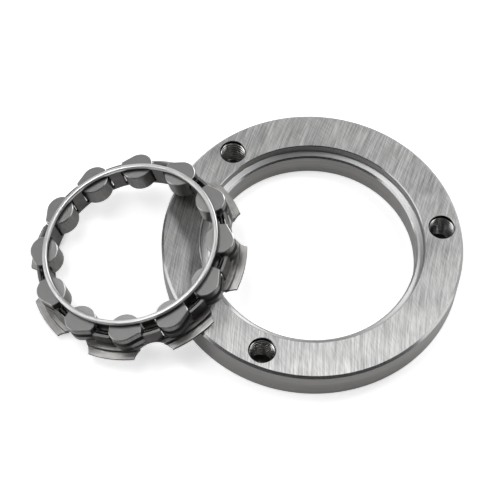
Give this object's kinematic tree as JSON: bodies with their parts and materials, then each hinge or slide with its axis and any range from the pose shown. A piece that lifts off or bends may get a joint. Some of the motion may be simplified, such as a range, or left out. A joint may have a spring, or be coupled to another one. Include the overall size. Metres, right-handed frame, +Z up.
{
  "type": "sprag clutch",
  "caption": "One-way clutch: counterbored outer ring with tapped holes, and a loose caged sprag unit with a garter spring leaning on its rim.",
  "frame": {"origin": "on the axis of the ring's bore, at the ring's lower face", "axes": "+Z up along the bore, out of the counterbore; +X towards the first tapped hole; the sprag unit lies on the -X side"},
  "size_m": [0.1264, 0.088, 0.0231],
  "materials": {
    "ring_steel": "fine-turned and ground",
    "outer_cage_steel": "pressed, tumbled",
    "inner_cage_steel": "pressed, tumbled, polished rim",
    "spring_steel": "drawn wire",
    "sprag_steel": "hardened and polished"
  },
  "bodies": {
    "ring": {"outer_ring": "ring_steel"},
    "spring": {"garter_spring": "spring_steel"},
    "outer_cage": {"outer_cage": "outer_cage_steel"},
    "inner_cage": {"inner_cage": "inner_cage_steel"},
    "sprag_01": {"sprag_01": "sprag_steel"},
    "sprag_02": {"sprag_02": "sprag_steel"},
    "sprag_03": {"sprag_03": "sprag_steel"},
    "sprag_04": {"sprag_04": "sprag_steel"},
    "sprag_05": {"sprag_05": "sprag_steel"},
    "sprag_06": {"sprag_06": "sprag_steel"},
    "sprag_07": {"sprag_07": "sprag_steel"},
    "sprag_08": {"sprag_08": "sprag_steel"},
    "sprag_09": {"sprag_09": "sprag_steel"},
    "sprag_10": {"sprag_10": "sprag_steel"},
    "sprag_11": {"sprag_11": "sprag_steel"},
    "sprag_12": {"sprag_12": "sprag_steel"}
  },
  "joints": [
    {"name": "unit_lift", "type": "slide", "parent": "ring", "child": "spring", "axis": [0, 0, 1], "range_m": [0, 0.04]},
    {"name": "unit_turn", "type": "hinge", "parent": "spring", "child": "outer_cage", "pos_m": [-0.052, 0.00227, 0.01237], "axis": [-0.2205, 0.0096, 0.9753], "continuous": true},
    {"name": "cage_phase", "type": "hinge", "parent": "outer_cage", "child": "inner_cage", "pos_m": [-0.052, 0.00227, 0.01237], "axis": [-0.2205, 0.0096, 0.9753], "range_deg": [-0.24, 0.12]},
    {"name": "tilt_01", "type": "hinge", "parent": "outer_cage", "child": "sprag_01", "pos_m": [-0.02623, -0.00198, 0.01824], "axis": [-0.2205, 0.0096, 0.9753], "range_deg": [-3, 6], "stiffness_Nm_per_rad": 0.01},
    {"name": "tilt_02", "type": "hinge", "parent": "outer_cage", "child": "sprag_02", "pos_m": [-0.02758, 0.0118, 0.0178], "axis": [-0.2205, 0.0096, 0.9753], "range_deg": [-3, 6]},
    {"name": "tilt_03", "type": "hinge", "parent": "outer_cage", "child": "sprag_03", "pos_m": [-0.03548, 0.02304, 0.0159], "axis": [-0.2205, 0.0096, 0.9753], "range_deg": [-3, 6]},
    {"name": "tilt_04", "type": "hinge", "parent": "outer_cage", "child": "sprag_04", "pos_m": [-0.0478, 0.0287, 0.01306], "axis": [-0.2205, 0.0096, 0.9753], "range_deg": [-3, 6]},
    {"name": "tilt_05", "type": "hinge", "parent": "outer_cage", "child": "sprag_05", "pos_m": [-0.06125, 0.02729, 0.01003], "axis": [-0.2205, 0.0096, 0.9753], "range_deg": [-3, 6]},
    {"name": "tilt_06", "type": "hinge", "parent": "outer_cage", "child": "sprag_06", "pos_m": [-0.07222, 0.01917, 0.00763], "axis": [-0.2205, 0.0096, 0.9753], "range_deg": [-3, 6]},
    {"name": "tilt_07", "type": "hinge", "parent": "outer_cage", "child": "sprag_07", "pos_m": [-0.07778, 0.00652, 0.0065], "axis": [-0.2205, 0.0096, 0.9753], "range_deg": [-3, 6]},
    {"name": "tilt_08", "type": "hinge", "parent": "outer_cage", "child": "sprag_08", "pos_m": [-0.07643, -0.00726, 0.00694], "axis": [-0.2205, 0.0096, 0.9753], "range_deg": [-3, 6]},
    {"name": "tilt_09", "type": "hinge", "parent": "outer_cage", "child": "sprag_09", "pos_m": [-0.06853, -0.0185, 0.00884], "axis": [-0.2205, 0.0096, 0.9753], "range_deg": [-3, 6]},
    {"name": "tilt_10", "type": "hinge", "parent": "outer_cage", "child": "sprag_10", "pos_m": [-0.05621, -0.02416, 0.01168], "axis": [-0.2205, 0.0096, 0.9753], "range_deg": [-3, 6]},
    {"name": "tilt_11", "type": "hinge", "parent": "outer_cage", "child": "sprag_11", "pos_m": [-0.04276, -0.02275, 0.01471], "axis": [-0.2205, 0.0096, 0.9753], "range_deg": [-3, 6]},
    {"name": "tilt_12", "type": "hinge", "parent": "outer_cage", "child": "sprag_12", "pos_m": [-0.03178, -0.01463, 0.01711], "axis": [-0.2205, 0.0096, 0.9753], "range_deg": [-3, 6]}
  ],
  "couplings": [
    {"joint": "cage_phase", "follows": "tilt_01", "ratio": -0.04},
    {"joint": "tilt_02", "follows": "tilt_01", "ratio": 1},
    {"joint": "tilt_03", "follows": "tilt_01", "ratio": 1},
    {"joint": "tilt_04", "follows": "tilt_01", "ratio": 1},
    {"joint": "tilt_05", "follows": "tilt_01", "ratio": 1},
    {"joint": "tilt_06", "follows": "tilt_01", "ratio": 1},
    {"joint": "tilt_07", "follows": "tilt_01", "ratio": 1},
    {"joint": "tilt_08", "follows": "tilt_01", "ratio": 1},
    {"joint": "tilt_09", "follows": "tilt_01", "ratio": 1},
    {"joint": "tilt_10", "follows": "tilt_01", "ratio": 1},
    {"joint": "tilt_11", "follows": "tilt_01", "ratio": 1},
    {"joint": "tilt_12", "follows": "tilt_01", "ratio": 1}
  ]
}
